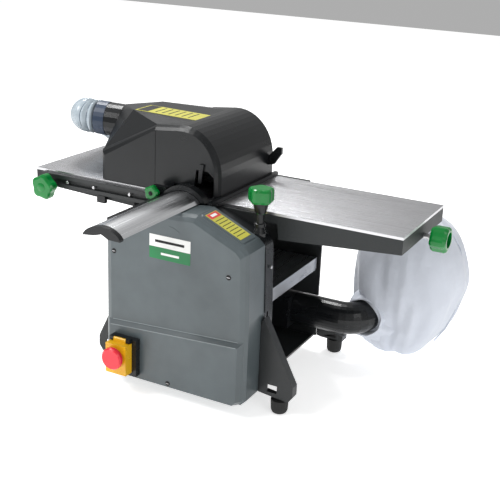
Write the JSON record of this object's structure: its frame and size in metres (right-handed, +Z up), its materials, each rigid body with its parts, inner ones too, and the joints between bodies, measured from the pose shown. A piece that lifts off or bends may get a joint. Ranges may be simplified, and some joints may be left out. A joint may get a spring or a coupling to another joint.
{
  "type": "thickness planer",
  "caption": "Bench planer and thicknesser: ribbed tables over a belt housing, chip hood with hose, cutter guard on an arm, switch, crank, fan and cloth bag.",
  "frame": {"origin": "on the floor under the middle of the machine's outer box, measured without the dust hose and its cuffs", "axes": "+X along the tables towards the infeed end, +Y away from the operator, +Z up from the feet"},
  "size_m": [0.7819, 0.701, 0.475],
  "materials": {
    "black_steel": "satin black powder coat",
    "black_plastic": "satin moulded black",
    "grey_plastic": "satin moulded blue-grey",
    "cast_black": "matt paint on a casting",
    "aluminium": "finely ribbed, machined",
    "steel": "bright machined steel",
    "green_plastic": "glossy green",
    "yellow_plastic": "glossy yellow",
    "red_plastic": "glossy red",
    "rubber": "matt black rubber",
    "clear_hose": "milky ribbed plastic",
    "navy_plastic": "matt dark blue",
    "cloth": "woven white cloth"
  },
  "bodies": {
    "chassis": {"bag_clamp": "steel", "base_plate": "black_steel", "bearing_front": "steel", "bearing_rear": "steel", "belt_cover": "grey_plastic", "drive_belt": "rubber", "dust_bag": "cloth", "dust_hood": "black_plastic", "dust_hose": "clear_hose", "elbow_pipe": "black_plastic", "fan_housing": "black_plastic", "feed_chain": "steel", "feed_gearbox": "cast_black", "fence_rail": "black_steel", "foot_front_left": "rubber", "foot_front_right": "rubber", "foot_rear_left": "rubber", "foot_rear_right": "rubber", "guard_arm": "black_plastic", "hood_latch": "black_plastic", "hose_cuff_fan": "navy_plastic", "hose_cuff_hood": "navy_plastic", "inner_housing": "black_plastic", "leg_front_left": "black_steel", "leg_front_right": "black_steel", "leg_rear_left": "black_steel", "leg_rear_right": "black_steel", "lift_chain": "steel", "motor_housing": "black_steel", "outfeed_table_frame": "cast_black", "outfeed_table_top": "aluminium", "rear_cover": "black_plastic", "side_plate_front": "black_steel", "side_plate_rear": "black_steel", "switch_base": "black_plastic"},
    "infeed_table": {"infeed_table_top": "aluminium", "infeed_table_frame": "cast_black"},
    "depth_screw": {"infeed_depth_screw": "steel", "infeed_depth_knob": "green_plastic"},
    "fence_clamp": {"fence_knob": "green_plastic"},
    "guard": {"guard_bridge": "aluminium", "guard_end_cap": "black_plastic"},
    "guard_clamp": {"guard_lock_knob": "green_plastic"},
    "lid": {"switch_lid": "yellow_plastic"},
    "stop": {"stop_button": "red_plastic"},
    "start": {"start_button": "green_plastic"},
    "cutter": {"cutter_block": "steel", "knife_1": "steel", "knife_2": "steel", "cutter_pulley": "steel"},
    "rotor": {"motor_shaft": "steel", "motor_pulley": "steel", "fan_impeller": "black_plastic"},
    "roller_in": {"infeed_roller": "steel"},
    "roller_out": {"outfeed_roller": "steel"},
    "fingers": {"kickback_fingers": "steel"},
    "crank": {"crank_knob": "green_plastic", "crank_screw": "steel"},
    "second_screw": {"lift_screw": "steel"},
    "bed": {"thicknesser_table": "aluminium"}
  },
  "joints": [
    {"name": "infeed_height", "type": "slide", "parent": "chassis", "child": "infeed_table", "axis": [0, 0, 1], "range_m": [-0.002, 0]},
    {"name": "depth_knob_turn", "type": "hinge", "parent": "infeed_table", "child": "depth_screw", "pos_m": [0.3468, 0.0315, 0.3215], "axis": [1, 0, 0], "range_deg": [-1, 721]},
    {"name": "fence_clamp_turn", "type": "hinge", "parent": "chassis", "child": "fence_clamp", "pos_m": [-0.3477, -0.098, 0.3255], "axis": [0, -1, 0], "range_deg": [-720, 0]},
    {"name": "guard_slide", "type": "slide", "parent": "chassis", "child": "guard", "axis": [0, 1, 0], "range_m": [0, 0.145]},
    {"name": "guard_clamp_turn", "type": "hinge", "parent": "chassis", "child": "guard_clamp", "pos_m": [-0.1037, -0.1097, 0.356], "axis": [0, -1, 0], "range_deg": [-720, 0]},
    {"name": "switch_lid_open", "type": "hinge", "parent": "chassis", "child": "lid", "pos_m": [-0.1137, -0.2038, 0.1045], "axis": [1, 0, 0], "range_deg": [-100, 0]},
    {"name": "stop_press", "type": "slide", "parent": "lid", "child": "stop", "axis": [0, 1, 0], "range_m": [0, 0.003], "stiffness_N_per_m": 300},
    {"name": "start_press", "type": "slide", "parent": "chassis", "child": "start", "axis": [0, 1, 0], "range_m": [0, 0.003], "stiffness_N_per_m": 200},
    {"name": "cutter_spin", "type": "hinge", "parent": "chassis", "child": "cutter", "pos_m": [-0.0417, 0.0255, 0.325], "axis": [0, 1, 0], "continuous": true},
    {"name": "rotor_spin", "type": "hinge", "parent": "chassis", "child": "rotor", "pos_m": [-0.0417, 0.0255, 0.097], "axis": [0, 1, 0], "continuous": true},
    {"name": "infeed_roller_spin", "type": "hinge", "parent": "chassis", "child": "roller_in", "pos_m": [-0.0877, 0.0255, 0.3095], "axis": [0, 1, 0], "continuous": true},
    {"name": "outfeed_roller_spin", "type": "hinge", "parent": "chassis", "child": "roller_out", "pos_m": [0.0043, 0.0255, 0.3095], "axis": [0, 1, 0], "continuous": true},
    {"name": "kickback_swing", "type": "hinge", "parent": "chassis", "child": "fingers", "pos_m": [-0.1197, 0.0255, 0.314], "axis": [0, 1, 0], "range_deg": [-55, 0]},
    {"name": "crank_turn", "type": "hinge", "parent": "chassis", "child": "crank", "pos_m": [0.1023, -0.1045, 0.043], "axis": [0, 0, 1], "range_deg": [-16201, 4501]},
    {"name": "second_screw_turn", "type": "hinge", "parent": "chassis", "child": "second_screw", "pos_m": [-0.1337, 0.146, 0.043], "axis": [0, 0, 1], "range_deg": [-16201, 4501]},
    {"name": "bed_lift", "type": "slide", "parent": "chassis", "child": "bed", "axis": [0, 0, 1], "range_m": [-0.025, 0.09]}
  ],
  "couplings": [
    {"joint": "depth_knob_turn", "follows": "infeed_height", "rad_per_m": -6283.2},
    {"joint": "rotor_spin", "follows": "cutter_spin", "ratio": 0.70455},
    {"joint": "infeed_roller_spin", "follows": "cutter_spin", "ratio": -0.014},
    {"joint": "outfeed_roller_spin", "follows": "cutter_spin", "ratio": -0.014},
    {"joint": "crank_turn", "follows": "bed_lift", "rad_per_m": -3141.6},
    {"joint": "second_screw_turn", "follows": "bed_lift", "rad_per_m": -3141.6}
  ]
}
